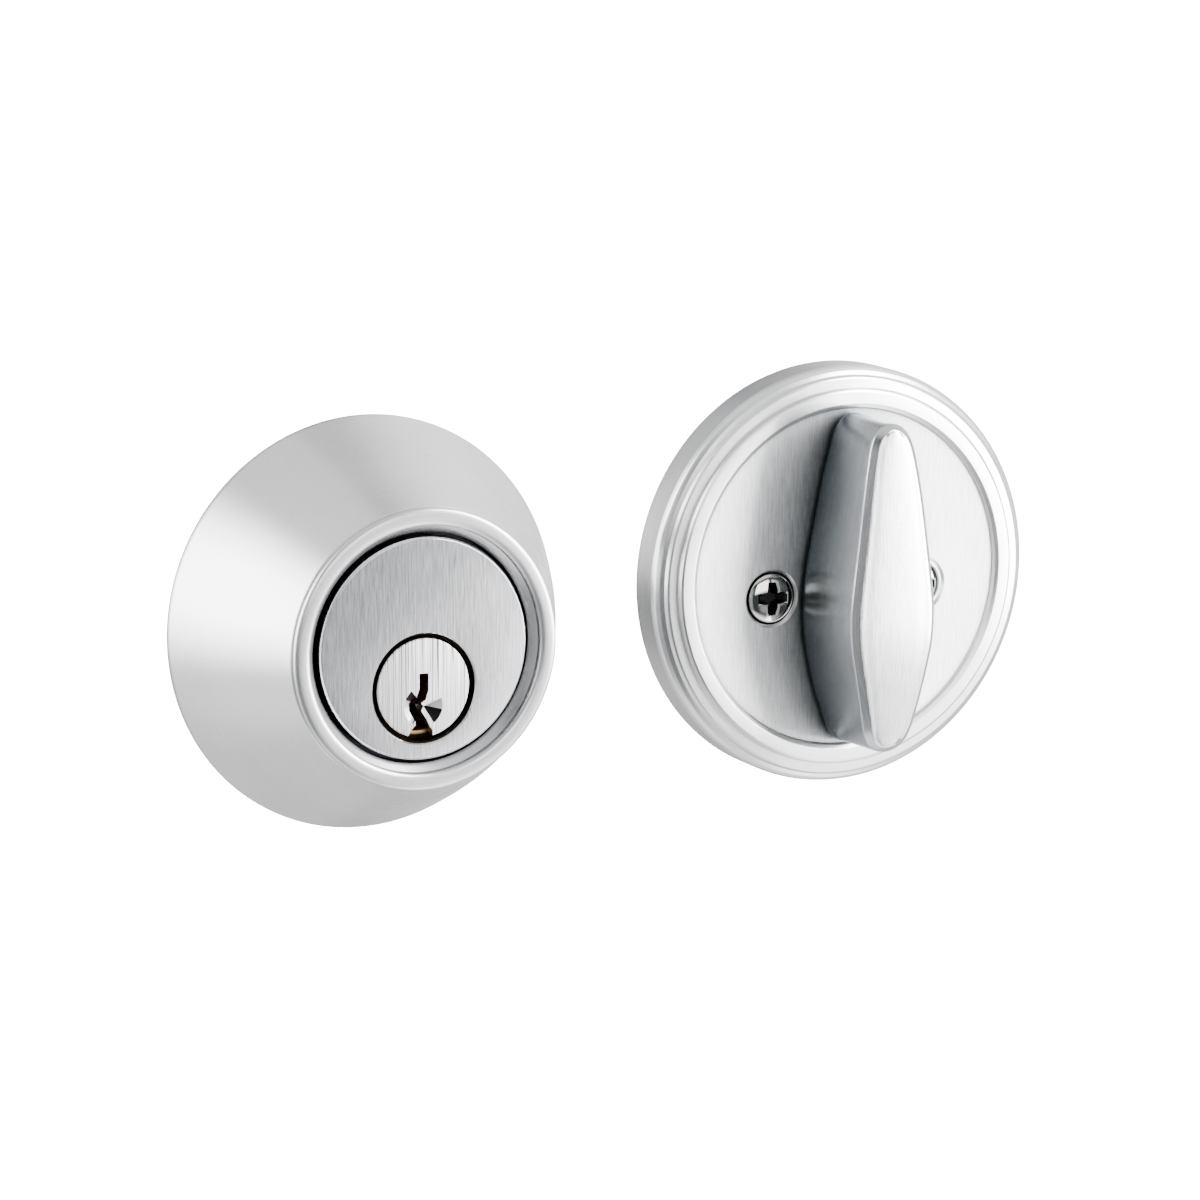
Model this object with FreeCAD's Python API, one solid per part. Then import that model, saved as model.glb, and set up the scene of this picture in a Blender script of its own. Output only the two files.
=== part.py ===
import FreeCAD
import Part
import math
import os

# Deadbolt door lock: exterior key cylinder, interior thumb turn and drive-in bolt.
# Millimetres, +Z up. Both trims stand side by side and face -Y; the door face is y = 0.
# The origin is the middle of the exterior collar on the door face.

V = FreeCAD.Vector
EAST = V(1, 0, 0)
BACK = V(0, 1, 0)
UP = V(0, 0, 1)

# ---- where the three groups stand -------------------------------------------------
INT_X = 75.9            # interior rose axis, to the right of the exterior one
INT_Z = 1.5             # the rose is 3 mm larger, so its axis stands 1.5 mm higher
BOLT_X = 24.0           # bolt axis
BOLT_Z = -17.45         # the bolt lies on the level of the collar's lowest point
BOLT_Y = 41.5           # hub axis of the bolt

# ---- exterior trim -----------------------------------------------------------------
COLLAR_R = 30.15        # collar, 60.3 mm across
CONE_TOP_R = 20.05      # end of the cone, where the lip starts
CONE_TOP_H = 21.6
CONE_BULGE = 0.45       # the cone is very slightly crowned
LIP_MID_R = 18.55       # rounded lip, centre radius and half width
LIP_HALF = 1.6
LIP_RISE = 1.15
COLLAR_HOLE_R = 16.85
LEDGE_R = 15.10         # ledge the cylinder head bears on
LEDGE_H0 = 15.6
LEDGE_H1 = 18.0
WALL = 2.3

HEAD_R = 15.85          # cylinder head, 31.7 mm across
HEAD_H = 21.5
HEAD_BACK_H = 18.0
HEAD_CHAMFER = 0.55
BARREL_R = 14.9
BARREL_END_Y = 1.5
PLUG_Z = -5.75          # the plug sits below the collar centre
HEAD_BORE_R = 7.95
POST_R = 3.5
POST_PITCH = 25.4       # the two fixing posts, 1 in apart
POST_END_Y = 22.0
POST_HOLE_R = 3.8       # the posts pass the bolt frame through these
POST_THREAD_R = 1.8
POST_THREAD_DEPTH = 17.0

SHELL_R = 8.0
SHELL_FRONT_H = 20.6
SHELL_END_Y = 6.0
PLUG_BORE_R = 6.40
PLUG_R = 6.35           # 1/2 in plug
FLANGE_BORE_R = 7.62
FLANGE_R = 7.30
PLUG_FACE_H = 21.1
FLANGE_BACK_H = 19.5
PLUG_END_Y = 7.6
FUNNEL_Z = -2.6         # lead-in of the key hole, below the plug axis
BIBLE_HALF = 3.6
BIBLE_TOP_Z = 11.2
PIN_COUNT = 5
PIN_PITCH = 3.81        # 0.150 in
PIN_FIRST_H = 14.83
PIN_R = 1.45
CHAMBER_R = 1.50
SHEAR_KEY = 6.0         # top of the key pins above the plug axis
SHEAR_DRIVER = 6.72     # bottom of the driver pins above the plug axis

TAIL_W = 7.0
TAIL_T = 2.2
TAIL_END_Y = 48.0

# ---- interior trim -----------------------------------------------------------------
ROSE_R = 31.65
SIDE_H = 5.3
FIELD_H = 7.2
FIELD_R = 25.4
ROSE_WALL = 1.3
SPINDLE_Z = -2.3        # spindle and screws sit below the rose centre
SHANK_R = 5.5
SHANK_HOLE_R = 5.56
SCREW_HEAD_R = 3.85
SCREW_R = 2.05
SCREW_SEAT_H = 5.7
SCREW_RIM_H = 6.8
SCREW_TOP_H = 7.95
SCREW_END_Y = 28.0
TURN_BASE_H = 8.3
TURN_TOP_H = 22.0

# ---- bolt --------------------------------------------------------------------------
BACKSET = 60.3          # 2 3/8 in
THROW = 25.4            # 1 in
DRIVE_R = 12.7          # 1 in round front
TUBE_R = 12.2
TUBE_WALL = 1.0
TUBE_START = 18.2
FRAME_REAR = -17.6
FRAME_FRONT = 23.4
CHEEK_IN = 4.2          # inner face of each cheek
CHEEK_T = 1.6
HUB_DROP = 6.0
CRANK_R = THROW / (2.0 * math.sin(math.radians(45.0)))
CRANK_PIN_R = 2.0
LINK_T = 2.4
BAR_R = 9.5             # bolt bar: round, flattened to BAR_W
BAR_W = 15.0
BAR_REAR = 24.0
LINK_PIN_S = 27.4
LINK_PIN_U = 6.2


def save(name, shape):
    shape.exportStep("parts/" + name + ".step")
    print(name, shape.ShapeType, round(shape.Volume, 1), shape.isValid())


def turned(profile, cx=0.0, cz=0.0):
    """Solid of revolution about a Y axis; the profile is (radius, height off the door)."""
    pts = [V(cx + r, -h, cz) for r, h in profile]
    face = Part.Face(Part.makePolygon(pts + [pts[0]]))
    return face.revolve(V(cx, 0, cz), BACK, 360)


def rod(cx, cz, r, y0, y1):
    """Cylinder along Y from y0 to y1."""
    return Part.makeCylinder(r, y1 - y0, V(cx, y0, cz), BACK)


def tube(cx, cz, r_out, r_in, y0, y1):
    return rod(cx, cz, r_out, y0, y1).cut(rod(cx, cz, r_in, y0 - 1, y1 + 1))


def cone_y(cx, cz, r0, r1, y0, y1):
    return Part.makeCone(r0, r1, y1 - y0, V(cx, y0, cz), BACK)


def box(x0, x1, y0, y1, z0, z1):
    return Part.makeBox(x1 - x0, y1 - y0, z1 - z0, V(x0, y0, z0))


def prism(points, vec):
    """Flat outline pushed along a vector."""
    return Part.Face(Part.makePolygon(points + [points[0]])).extrude(vec)


def sector(cx, cz, r0, r1, a0, a1, y0, y1):
    """Part of a ring about a Y axis; 0 deg points east, 90 deg up."""
    steps = max(2, int((a1 - a0) / 6))
    ang = [math.radians(a0 + (a1 - a0) * i / steps) for i in range(steps + 1)]
    outer = [V(cx + r1 * math.cos(a), y0, cz + r1 * math.sin(a)) for a in ang]
    inner = [V(cx + r0 * math.cos(a), y0, cz + r0 * math.sin(a)) for a in reversed(ang)]
    return prism(outer + inner, V(0, y1 - y0, 0))


def coil(cx, cy, z0, length, r, wire, turns, steps=10):
    """Compression spring standing along Z, wound from square wire in flat facets."""
    count = int(turns * steps)
    rings = []
    for i in range(count + 1):
        a = 2 * math.pi * i / steps
        out = V(math.cos(a), math.sin(a), 0)
        mid = V(cx, cy, z0 + wire + (length - 2 * wire) * i / count) + out * r
        corners = ((1, 1), (-1, 1), (-1, -1), (1, -1))
        rings.append([mid + out * (wire * u) + V(0, 0, wire * v) for u, v in corners])
    faces = [Part.Face(Part.makePolygon(end + [end[0]])) for end in (rings[0], rings[-1])]
    for p, q in zip(rings[:-1], rings[1:]):
        for k in range(4):
            a, b, c, d = p[k], p[(k + 1) % 4], q[(k + 1) % 4], q[k]
            faces.append(Part.Face(Part.makePolygon([a, b, c, a])))
            faces.append(Part.Face(Part.makePolygon([a, c, d, a])))
    return Part.Solid(Part.Shell(faces))


# ---- exterior trim -----------------------------------------------------------------
def cone_points(n=14):
    """Crowned cone from the back rim to the foot of the lip."""
    out = []
    for i in range(n + 1):
        t = i / n
        bulge = CONE_BULGE * math.sin(math.pi * t)
        out.append((COLLAR_R + (CONE_TOP_R - COLLAR_R) * t + bulge, 0.7 + (CONE_TOP_H - 0.7) * t))
    return out


def lip_points(n=10):
    out = []
    for i in range(n + 1):
        a = math.pi * i / n
        out.append((LIP_MID_R + LIP_HALF * math.cos(a), CONE_TOP_H + LIP_RISE * math.sin(a)))
    return out


def outer_collar():
    inner = [(COLLAR_HOLE_R, LEDGE_H1), (LEDGE_R, LEDGE_H1), (LEDGE_R, LEDGE_H0), (20.5, LEDGE_H0)]
    inner += [(COLLAR_R - WALL, 1.2), (COLLAR_R - WALL, 0.0)]
    outer = [(COLLAR_R - 0.15, 0.0), (COLLAR_R, 0.15)]
    return turned(outer + cone_points() + lip_points() + inner)


def reinforcing_ring():
    return tube(0, 0, 20.3, 18.3, -LEDGE_H0, -0.4)


def figure_eight(margin, h_front_round, h_front_slab, y_end, top):
    """Round plug barrel with the pin block standing on it."""
    barrel = rod(0, PLUG_Z, SHELL_R + margin, -h_front_round, y_end)
    half = BIBLE_HALF + margin
    slab = box(-half, half, -h_front_slab, y_end, PLUG_Z, top + margin)
    return barrel.fuse(slab)


def cylinder_body():
    disc = [(0, HEAD_BACK_H), (HEAD_R, HEAD_BACK_H), (HEAD_R, HEAD_H - HEAD_CHAMFER)]
    disc += [(HEAD_R - HEAD_CHAMFER, HEAD_H), (0, HEAD_H)]
    body = turned(disc).fuse(rod(0, 0, BARREL_R, -HEAD_BACK_H - 0.1, BARREL_END_Y))
    for side in (-1, 1):
        x = side * POST_PITCH / 2
        body = body.fuse(rod(x, PLUG_Z, POST_R + 0.25, -12.0, BARREL_END_Y))
        body = body.fuse(rod(x, PLUG_Z, POST_R, BARREL_END_Y - 0.5, POST_END_Y))
    body = body.cut(figure_eight(0.15, SHELL_FRONT_H, 17.8, 3.0, BIBLE_TOP_Z + 0.8))
    body = body.cut(rod(0, PLUG_Z, HEAD_BORE_R, -HEAD_H - 1, -SHELL_FRONT_H + 0.1))
    body = body.cut(cone_y(0, PLUG_Z, HEAD_BORE_R + 0.55, HEAD_BORE_R, -HEAD_H - 0.1, -HEAD_H + 0.45))
    for side in (-1, 1):
        x = side * POST_PITCH / 2
        body = body.cut(rod(x, PLUG_Z, POST_THREAD_R, POST_END_Y - POST_THREAD_DEPTH, POST_END_Y + 1))
        body = body.cut(rod(side * 6.2, 5.6, 1.0, -17.6, -5.6))
    return body.removeSplitter()


def pin_heights():
    return [PIN_FIRST_H - PIN_PITCH * i for i in range(PIN_COUNT)]


def cylinder_shell():
    shell = figure_eight(0.0, SHELL_FRONT_H, 17.5, 2.6, BIBLE_TOP_Z)
    shell = shell.fuse(rod(0, PLUG_Z, SHELL_R, 2.0, SHELL_END_Y))
    shell = shell.cut(rod(0, PLUG_Z, PLUG_BORE_R, -SHELL_FRONT_H - 1, SHELL_END_Y + 1))
    shell = shell.cut(rod(0, PLUG_Z, FLANGE_BORE_R, -SHELL_FRONT_H - 1, -FLANGE_BACK_H + 0.35))
    for h in pin_heights():
        shell = shell.cut(Part.makeCylinder(CHAMBER_R, 14, V(0, -h, PLUG_Z + 4), UP))
    return shell.removeSplitter()


def keyway_outline():
    """Zigzag slot in the plug face, about the plug axis, open at the bottom."""
    left = [(-0.62, 2.1), (-0.62, 0.0), (-1.05, -1.2), (-2.0, -2.1), (-2.0, -3.1), (-1.35, -4.4)]
    left += [(-1.2, -5.2), (-2.0, -5.9), (-2.4, -6.7), (-2.4, -7.6)]
    right = [(1.4, -7.6), (1.4, -6.1), (0.95, -5.5), (0.45, -4.5), (-0.45, -3.1), (-0.7, -2.3)]
    right += [(0.35, -1.7), (0.78, -0.3), (0.78, 2.1)]
    return left + right


def key_plug():
    plug = rod(0, PLUG_Z, PLUG_R, -FLANGE_BACK_H - 0.1, PLUG_END_Y)
    face = [(0, FLANGE_BACK_H), (FLANGE_R, FLANGE_BACK_H), (FLANGE_R, PLUG_FACE_H - 0.3)]
    face += [(FLANGE_R - 0.3, PLUG_FACE_H), (0, PLUG_FACE_H)]
    plug = plug.fuse(turned(face, 0, PLUG_Z))
    pts = [V(x, -PLUG_FACE_H - 1, PLUG_Z + z) for x, z in keyway_outline()]
    plug = plug.cut(prism(pts, V(0, PLUG_FACE_H + 1 + 5.4, 0)))
    plug = plug.cut(cone_y(0, PLUG_Z + FUNNEL_Z, 2.85, 0.5, -PLUG_FACE_H, -PLUG_FACE_H + 1.6))
    for h in pin_heights():
        plug = plug.cut(Part.makeCylinder(CHAMBER_R, 9, V(0, -h, PLUG_Z - 0.8), UP))
    groove = tube(0, PLUG_Z, 7.0, 5.3, SHELL_END_Y + 0.3, SHELL_END_Y + 1.2)
    plug = plug.cut(groove)
    lug = sector(0, PLUG_Z, 3.2, 5.2, 255, 285, PLUG_END_Y - 0.1, PLUG_END_Y + 0.9)
    return plug.fuse(lug).removeSplitter()


def key_pins():
    """Five bottom pins of different lengths, standing with their tops just under the shear line."""
    lengths = [5.4, 6.3, 5.0, 6.6, 5.8]
    pins = []
    for h, length in zip(pin_heights(), lengths):
        top = PLUG_Z + SHEAR_KEY
        body = Part.makeCylinder(PIN_R, length - 0.8, V(0, -h, top - length + 0.8), UP)
        tip = Part.makeCone(0.6, PIN_R, 0.8, V(0, -h, top - length), UP)
        pins.append(body.fuse(tip).removeSplitter())
    return Part.makeCompound(pins)


def driver_pins():
    pins = []
    for h in pin_heights():
        z = PLUG_Z + SHEAR_DRIVER
        body = Part.makeCylinder(PIN_R, 4.2, V(0, -h, z), UP)
        waist = Part.makeCylinder(2.0, 1.4, V(0, -h, z + 1.4), UP)
        waist = waist.cut(Part.makeCylinder(1.05, 3.0, V(0, -h, z + 0.6), UP))
        pins.append(body.cut(waist))
    return Part.makeCompound(pins)


def pin_springs():
    z0 = PLUG_Z + SHEAR_DRIVER + 4.2 + 0.22
    length = BIBLE_TOP_Z - z0 - 0.22
    return Part.makeCompound([coil(0, -h, z0, length, 1.12, 0.15, 4.5) for h in pin_heights()])


def chamber_cap():
    cap = box(-BIBLE_HALF + 0.5, BIBLE_HALF - 0.5, -16.6, 2.2, BIBLE_TOP_Z, BIBLE_TOP_Z + 0.8)
    return cap


def anti_drill_pins():
    return Part.makeCompound([rod(s * 6.2, 5.6, 1.0, -17.6, -5.6) for s in (-1, 1)])


def plug_clip():
    """C clip in the rear groove; it stops the plug pulling out of the shell."""
    ring = tube(0, PLUG_Z, 7.15, 5.3, SHELL_END_Y + 0.35, SHELL_END_Y + 1.15)
    return ring.cut(box(-3.2, 3.2, SHELL_END_Y, SHELL_END_Y + 2, PLUG_Z, PLUG_Z + 9))


def tail_cap():
    cup = rod(0, PLUG_Z, SHELL_R, SHELL_END_Y, 11.4)
    cup = cup.cut(rod(0, PLUG_Z, 7.5, SHELL_END_Y - 1, 10.6))
    return cup.cut(rod(0, PLUG_Z, 4.3, 10.0, 12.0))


def tailpiece():
    disc = rod(0, PLUG_Z, 5.5, 9.2, 10.2)
    lobe = sector(0, PLUG_Z, 3.2, 5.2, 30, 60, 8.0, 9.3)
    blade = box(-TAIL_T / 2, TAIL_T / 2, 10.1, TAIL_END_Y, PLUG_Z - TAIL_W / 2, PLUG_Z + TAIL_W / 2)
    tip = box(-5, 5, TAIL_END_Y - 1.2, TAIL_END_Y + 1, PLUG_Z - 5, PLUG_Z + 5)
    tip = tip.cut(cone_y(0, PLUG_Z, 4.6, 2.6, TAIL_END_Y - 1.2, TAIL_END_Y + 1))
    return disc.fuse(lobe).fuse(blade).cut(tip).removeSplitter()


# ---- interior trim -----------------------------------------------------------------
def rose():
    outer = [(ROSE_R, 0.0), (ROSE_R, SIDE_H), (ROSE_R - 0.25, SIDE_H + 0.55)]
    outer += [(ROSE_R - 0.8, SIDE_H + 0.95), (30.3, 6.5), (30.0, 6.95), (28.9, 7.3)]
    outer += [(28.5, 7.45), (28.3, 7.8), (27.6, 8.0), (26.2, 8.0), (25.6, 7.75), (FIELD_R, FIELD_H)]
    inner = [(0, FIELD_H), (0, FIELD_H - ROSE_WALL), (25.0, FIELD_H - ROSE_WALL)]
    inner += [(27.6, FIELD_H - ROSE_WALL), (ROSE_R - ROSE_WALL, 4.4), (ROSE_R - ROSE_WALL, 0)]
    shape = turned(outer + inner, INT_X, INT_Z)
    zc = INT_Z + SPINDLE_Z
    for side in (-1, 1):
        x = INT_X + side * POST_PITCH / 2
        shape = shape.fuse(rod(x, zc, 5.1, -FIELD_H + 0.2, -4.6))
    for side in (-1, 1):
        x = INT_X + side * POST_PITCH / 2
        shape = shape.cut(rod(x, zc, SCREW_HEAD_R + 0.15, -FIELD_H - 1, -SCREW_SEAT_H))
        shape = shape.cut(cone_y(x, zc, SCREW_HEAD_R + 0.65, SCREW_HEAD_R + 0.15, -FIELD_H - 0.1, -6.7))
        shape = shape.cut(rod(x, zc, 2.4, -9, -3))
    return shape.cut(rod(INT_X, zc, SHANK_HOLE_R, -9, 1)).removeSplitter()


def rose_plate():
    """Steel plate inside the rose; it carries the screw load and the detent leaf."""
    zc = INT_Z + SPINDLE_Z
    plate = rod(INT_X, INT_Z, 29.6, -2.0, -0.6)
    plate = plate.cut(rod(INT_X, zc, 8.2, -3, 1))
    for side in (-1, 1):
        x = INT_X + side * POST_PITCH / 2
        plate = plate.fuse(rod(x, zc, 4.2, -4.6, -1.9)).cut(rod(x, zc, 2.4, -5, 1))
    for z in (18.0, -18.0):
        plate = plate.cut(rod(INT_X, INT_Z + z, 3.0, -3, 1))
    return plate.removeSplitter()


def turn_half_outline(level):
    """Half widths of the paddle from top to bottom, at its foot (0) or at its front (1)."""
    foot = [(0.0, 24.9), (1.6, 24.5), (2.6, 23.4), (3.5, 21.4), (5.0, 16.0), (6.6, 8.1), (7.6, 2.7)]
    foot += [(8.15, -1.8), (8.15, -5.2), (7.75, -9.2), (6.4, -15.3), (4.2, -21.6), (3.4, -23.3)]
    foot += [(2.0, -24.4), (0.0, -24.9)]
    front = [(0.0, 24.5), (1.5, 24.1), (2.6, 23.1), (3.8, 21.0), (4.8, 14.5), (5.7, 7.2), (6.4, 1.6)]
    front += [(6.8, -2.4), (6.8, -5.4), (6.6, -8.0), (5.6, -13.2), (4.2, -19.8), (3.2, -22.7)]
    front += [(1.9, -24.0), (0.0, -24.5)]
    return front if level else foot


def paddle_wire(level, h):
    half = turn_half_outline(level)
    right = [V(INT_X + x, -h, INT_Z + z) for x, z in half]
    left = [V(INT_X - x, -h, INT_Z + z) for x, z in reversed(half[1:-1])]
    pts = right + left
    return Part.makePolygon(pts + [pts[0]])


def crown_points():
    """Side view of the paddle front: nearly flat in the middle, falling at both ends."""
    pts = [(25.5, 17.6), (24.2, 19.2), (22.6, 20.4), (20.0, 21.1), (14.0, 21.6), (7.0, 21.9)]
    pts += [(-1.0, TURN_TOP_H), (-7.0, TURN_TOP_H), (-12.0, 21.8), (-17.0, 21.2), (-20.5, 20.4)]
    pts += [(-23.0, 19.2), (-25.5, 17.2)]
    return pts


def thumb_turn():
    body = Part.makeLoft([paddle_wire(0, TURN_BASE_H), paddle_wire(1, 23.0)], True, True)
    side = [V(INT_X - 12, -h, INT_Z + z) for z, h in crown_points()]
    side += [V(INT_X - 12, -5, INT_Z - 25.5), V(INT_X - 12, -5, INT_Z + 25.5)]
    body = body.common(prism(side, V(24, 0, 0)))
    zc = INT_Z + SPINDLE_Z
    body = body.fuse(rod(INT_X, zc, SHANK_R, -TURN_BASE_H - 0.2, -0.2))
    body = body.cut(rod(INT_X, zc, 4.2, -14.5, 1))
    return body.cut(tube(INT_X, zc, 7.0, 4.95, -4.2, -3.4)).removeSplitter()


def turn_spindle():
    """Slotted drum on the end of the turn; the tail blade plugs into it."""
    zc = INT_Z + SPINDLE_Z
    drum = rod(INT_X, zc, 6.4, -2.6, 6.5).cut(rod(INT_X, zc, SHANK_R, -3, -0.2))
    slot = box(INT_X - 1.4, INT_X + 1.4, -7, 8, zc - 3.8, zc + 3.8)
    drum = drum.cut(slot)
    for side in (-1, 1):
        drum = drum.cut(box(INT_X + side * 8 - 2, INT_X + side * 8 + 2, 1.5, 8, zc - 8, zc + 8))
    return drum.removeSplitter()


def spring_washer():
    """Shallow conical washer between the rose and the clip."""
    ring = [(5.7, 4.2), (7.3, 5.25), (7.3, 5.55), (5.7, 4.5)]
    return turned(ring, INT_X, INT_Z + SPINDLE_Z)


def spindle_clip():
    zc = INT_Z + SPINDLE_Z
    ring = tube(INT_X, zc, 7.3, 4.95, -4.2, -3.4)
    return ring.cut(box(INT_X - 3.0, INT_X + 3.0, -5, -3, zc - 9, zc))


def detent_leaf():
    """Flat steel leaf beside the drum; it clicks on the flats at each quarter turn."""
    zc = INT_Z + SPINDLE_Z
    leaf = box(INT_X + 6.8, INT_X + 7.2, -0.6, 5.2, zc - 11, zc + 11)
    foot = box(INT_X + 6.8, INT_X + 11.0, -0.6, 0.0, zc + 8, zc + 11)
    foot2 = box(INT_X + 6.8, INT_X + 11.0, -0.6, 0.0, zc - 11, zc - 8)
    return leaf.fuse(foot).fuse(foot2).removeSplitter()


def mounting_screw(side):
    """Oval head machine screw with a cross recess."""
    x = INT_X + side * POST_PITCH / 2
    zc = INT_Z + SPINDLE_Z
    head = [(0, SCREW_SEAT_H), (SCREW_HEAD_R, SCREW_SEAT_H), (SCREW_HEAD_R, SCREW_RIM_H)]
    for i in range(1, 7):
        a = math.radians(15 * i)
        rise = (SCREW_TOP_H - SCREW_RIM_H) * math.sin(a)
        head.append((SCREW_HEAD_R * math.cos(a), SCREW_RIM_H + rise))
    screw = turned(head, x, zc).fuse(rod(x, zc, SCREW_R, -SCREW_SEAT_H - 0.1, SCREW_END_Y - 0.6))
    screw = screw.fuse(cone_y(x, zc, SCREW_R, SCREW_R - 0.6, SCREW_END_Y - 0.6, SCREW_END_Y))
    top = -SCREW_TOP_H - 0.2
    for w, d in ((2.3, 0.45), (0.45, 2.3)):
        screw = screw.cut(box(x - w, x + w, top, top + 2.3, zc - d, zc + d))
    return screw.cut(cone_y(x, zc, 1.3, 0.3, top, top + 2.5)).removeSplitter()


# ---- bolt --------------------------------------------------------------------------
def brod(s, u, r, w0, w1):
    """Cylinder across the bolt, along X; s runs along the bolt and u up from its axis."""
    return Part.makeCylinder(r, w1 - w0, V(BOLT_X + w0, BOLT_Y + s, BOLT_Z + u), EAST)


def bbox(w0, w1, s0, s1, u0, u1):
    return box(BOLT_X + w0, BOLT_X + w1, BOLT_Y + s0, BOLT_Y + s1, BOLT_Z + u0, BOLT_Z + u1)


def bar_section(margin, s0, s1):
    """Round bar flattened on both sides."""
    bar = rod(BOLT_X, BOLT_Z, BAR_R + margin, BOLT_Y + s0, BOLT_Y + s1)
    half = BAR_W / 2 + margin
    return bar.common(bbox(-half, half, s0 - 1, s1 + 1, -20, 20))


def drive_in_collar():
    y0 = BOLT_Y + BACKSET - 9.0
    y1 = BOLT_Y + BACKSET
    body = rod(BOLT_X, BOLT_Z, DRIVE_R, y0, y1)
    for i in range(4):
        ring = tube(BOLT_X, BOLT_Z, DRIVE_R + 1, DRIVE_R - 0.3, y0 + 1.0 + 1.6 * i, y0 + 1.8 + 1.6 * i)
        body = body.cut(ring)
    body = body.cut(rod(BOLT_X, BOLT_Z, TUBE_R, y0 - 1, y1 - 2.4))
    return body.cut(bar_section(0.35, BACKSET - 5, BACKSET + 1)).removeSplitter()


def bolt_tube():
    y0 = BOLT_Y + TUBE_START
    y1 = BOLT_Y + BACKSET - 2.4
    body = tube(BOLT_X, BOLT_Z, TUBE_R, TUBE_R - TUBE_WALL, y0, y1)
    guide = rod(BOLT_X, BOLT_Z, TUBE_R - 0.5, y1 - 9.0, y1).cut(bar_section(0.35, 20, 60))
    return body.fuse(guide).removeSplitter()


def cheek(side):
    """Flat side plate of the bolt frame, trimmed to the round bore of the door edge."""
    w0, w1 = CHEEK_IN, CHEEK_IN + CHEEK_T
    if side < 0:
        w0, w1 = -w1, -w0
    plate = rod(BOLT_X, BOLT_Z, TUBE_R, BOLT_Y + FRAME_REAR, BOLT_Y + TUBE_START - 0.2)
    plate = plate.fuse(rod(BOLT_X, BOLT_Z, TUBE_R - TUBE_WALL, BOLT_Y + 10, BOLT_Y + FRAME_FRONT))
    plate = plate.common(bbox(w0, w1, FRAME_REAR - 1, FRAME_FRONT + 1, -12, 9.6))
    plate = plate.cut(brod(0, -HUB_DROP, 4.85, -9, 9))
    for s in (-POST_PITCH / 2, POST_PITCH / 2):
        plate = plate.cut(brod(s, -HUB_DROP, POST_HOLE_R, -9, 9))
    for s, u in rivet_places():
        plate = plate.cut(brod(s, u, 1.0, -9, 9))
    return plate.removeSplitter()


def rivet_places():
    return [(FRAME_REAR + 3.0, 0.4), (20.5, -6.6), (7.0, -9.2), (-7.0, -9.2)]


def frame_rivets():
    rivets = []
    for s, u in rivet_places():
        body = brod(s, u, 1.0, -CHEEK_IN - CHEEK_T - 0.3, CHEEK_IN + CHEEK_T + 0.3)
        body = body.fuse(brod(s, u, 1.45, -CHEEK_IN, CHEEK_IN))
        for w in (-CHEEK_IN - CHEEK_T - 0.4, CHEEK_IN + CHEEK_T):
            body = body.fuse(brod(s, u, 1.4, w, w + 0.4))
        rivets.append(body.removeSplitter())
    return Part.makeCompound(rivets)


def dead_bolt():
    bar = bar_section(0.0, BAR_REAR, BACKSET)
    nose = cone_y(BOLT_X, BOLT_Z, BAR_R + 0.1, BAR_R - 1.0, BOLT_Y + BACKSET - 1.1, BOLT_Y + BACKSET)
    keep = rod(BOLT_X, BOLT_Z, BAR_R + 0.1, BOLT_Y + 10, BOLT_Y + BACKSET - 1.1).fuse(nose)
    bar = bar.common(keep)
    bar = bar.cut(rod(BOLT_X, BOLT_Z, 3.05, BOLT_Y + 31.0, BOLT_Y + BACKSET - 4.0))
    bar = bar.cut(bbox(-LINK_T / 2, LINK_T / 2, BAR_REAR - 1, 30.2, 4.4, 12.0))
    return bar.cut(brod(LINK_PIN_S, LINK_PIN_U, 1.0, -12, 12)).removeSplitter()


def anti_saw_pin():
    return rod(BOLT_X, BOLT_Z, 3.0, BOLT_Y + 31.35, BOLT_Y + BACKSET - 4.35)


def bolt_link():
    """Flat tail of the bolt; the crank pin works in its upright slot."""
    rest = -THROW / 2
    w = LINK_T / 2
    slot = CRANK_PIN_R + 0.75
    plate = bbox(-w, w, rest - 4.4, 30.0, 4.6, 8.0)
    fork = bbox(-w, w, rest - 4.4, rest + 4.6, 2.7, 11.9)
    plate = plate.fuse(fork).cut(bbox(-4, 4, rest - slot, rest + slot, 4.3, 13.0))
    return plate.cut(brod(LINK_PIN_S, LINK_PIN_U, 1.0, -4, 4)).removeSplitter()


def link_pin():
    return brod(LINK_PIN_S, LINK_PIN_U, 1.0, -5.9, 5.9)


def bolt_cam():
    """Slotted hub with two crank arms and the drive pin between them."""
    hub = brod(0, -HUB_DROP, 4.8, -CHEEK_IN - CHEEK_T, CHEEK_IN + CHEEK_T)
    a = math.radians(135)
    ds = CRANK_R * math.cos(a)
    du = CRANK_R * math.sin(a)
    cam = hub
    for w0, w1 in ((-3.7, -1.9), (1.9, 3.7)):
        cam = cam.fuse(brod(0, -HUB_DROP, 5.6, w0, w1)).fuse(brod(ds, -HUB_DROP + du, 3.0, w0, w1))
        nx, nz = -math.sin(a), math.cos(a)
        pts = []
        for s0, u0, r in ((0, 0, 4.2), (ds, du, 3.0)):
            pts.append((s0 + nx * r, u0 + nz * r))
            pts.append((s0 - nx * r, u0 - nz * r))
        quad = [pts[0], pts[2], pts[3], pts[1]]
        arm = [V(BOLT_X + w0, BOLT_Y + s, BOLT_Z - HUB_DROP + u) for s, u in quad]
        cam = cam.fuse(prism(arm, V(w1 - w0, 0, 0)))
    cam = cam.fuse(brod(ds, -HUB_DROP + du, CRANK_PIN_R, -3.7, 3.7))
    slot = bbox(-9, 9, -(TAIL_T / 2 + 0.3), TAIL_T / 2 + 0.3, -HUB_DROP - 3.8, -HUB_DROP + 3.8)
    return cam.cut(slot).removeSplitter()


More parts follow.
